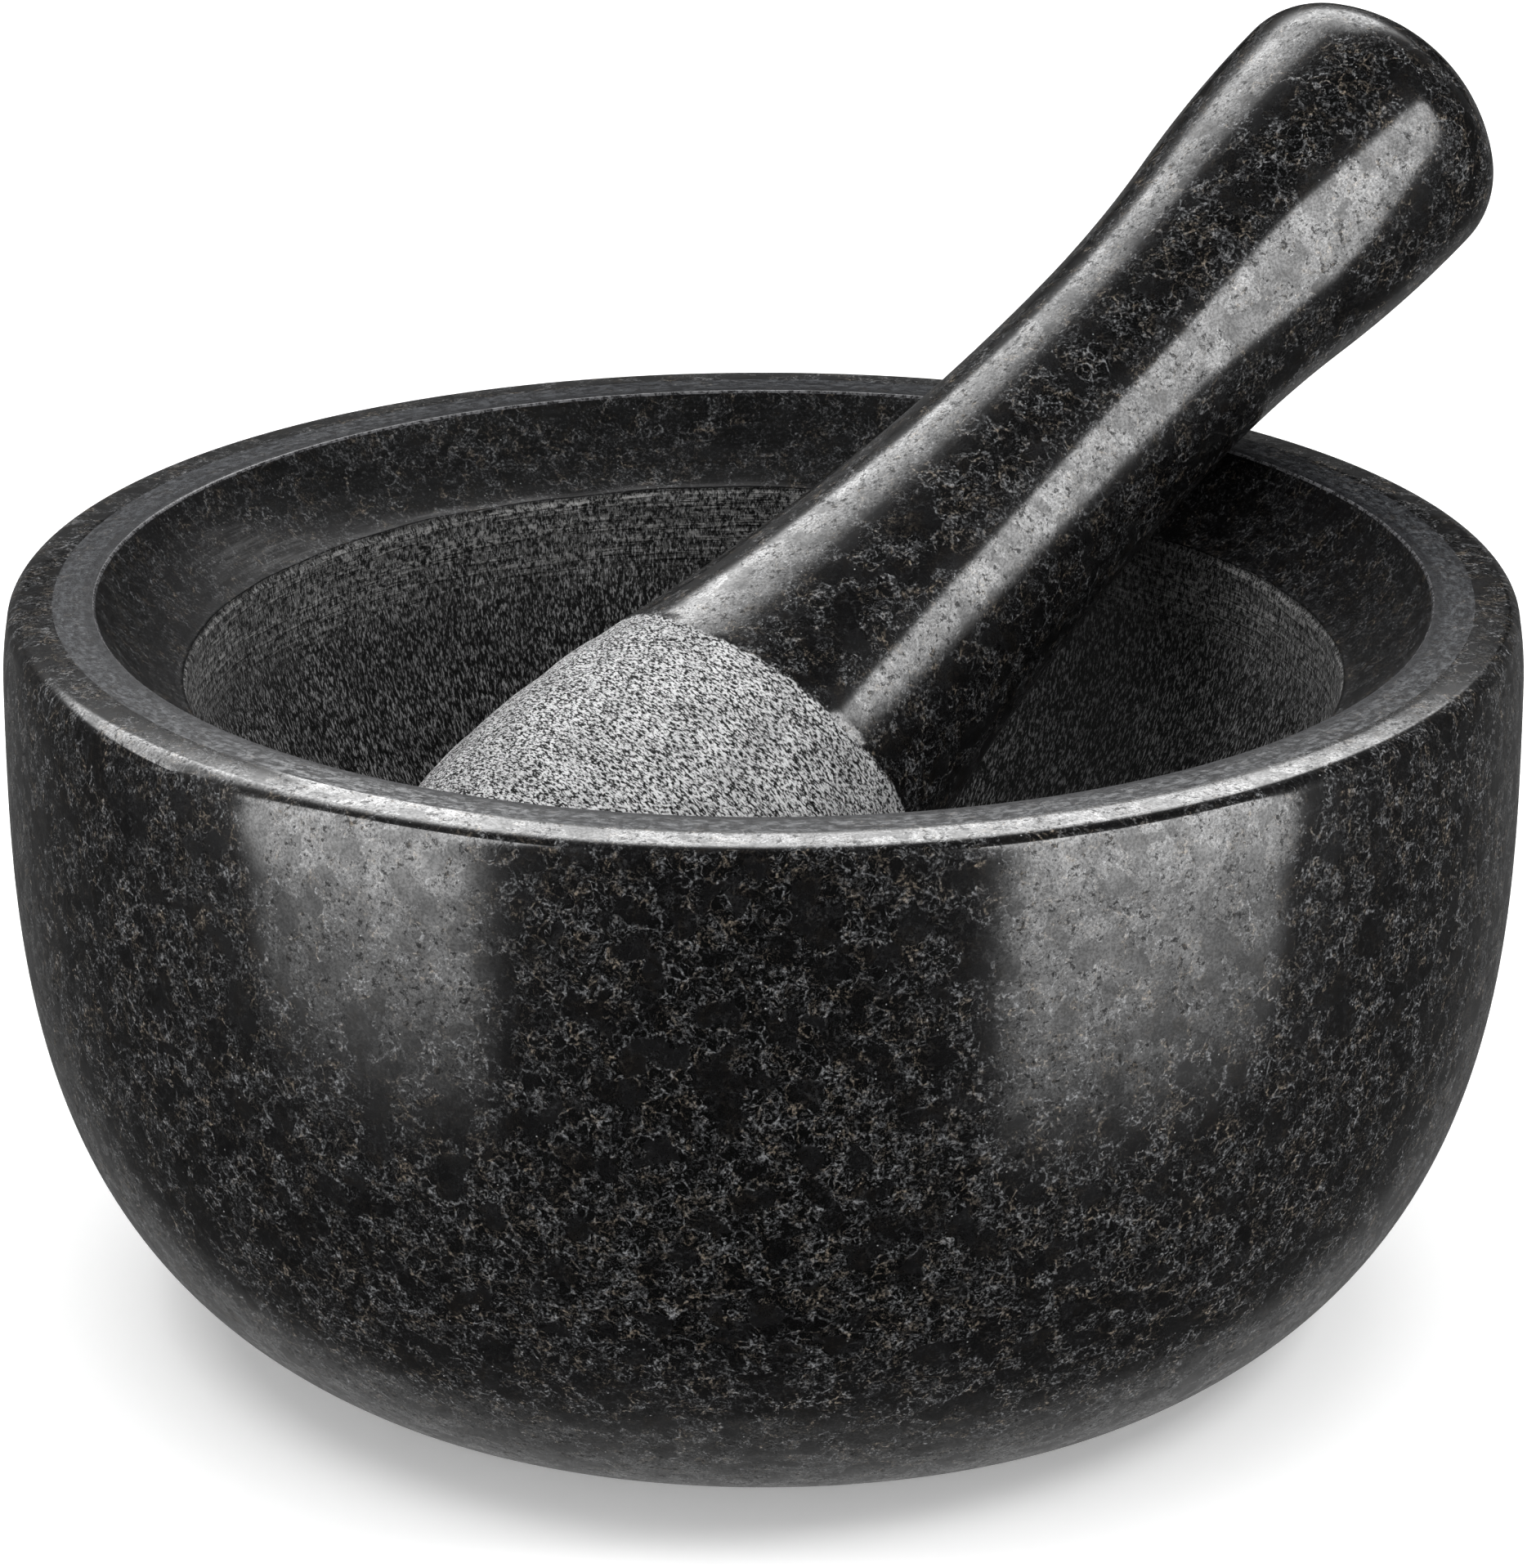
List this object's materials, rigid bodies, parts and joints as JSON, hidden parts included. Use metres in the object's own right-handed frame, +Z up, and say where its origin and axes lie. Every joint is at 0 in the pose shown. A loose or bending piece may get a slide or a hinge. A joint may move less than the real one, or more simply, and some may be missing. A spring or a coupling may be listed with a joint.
{
  "type": "mortar and pestle",
  "caption": "Round stone mortar with a thick flat rim, swelling wall and ground bowl; a waisted stone pestle with a rough grinding head leans in it.",
  "frame": {"origin": "centre of the mortar's flat foot, on the surface it stands on", "axes": "+Z up along the mortar's axis of turning; +X to the right and -Y towards the viewer, with the pestle's grip leaning towards +X +Y"},
  "size_m": [0.183, 0.1823, 0.1424],
  "materials": {
    "mortar_stone": "polished outside, honed rim, ground inside",
    "pestle_stone": "polished grip, ground head"
  },
  "bodies": {
    "mortar": {"mortar": "mortar_stone"},
    "pestle": {"pestle": "pestle_stone"}
  },
  "joints": [
    {"name": "pestle_lift", "type": "slide", "parent": "mortar", "child": "pestle", "axis": [0, 0, 1], "range_m": [0, 0.12]}
  ]
}
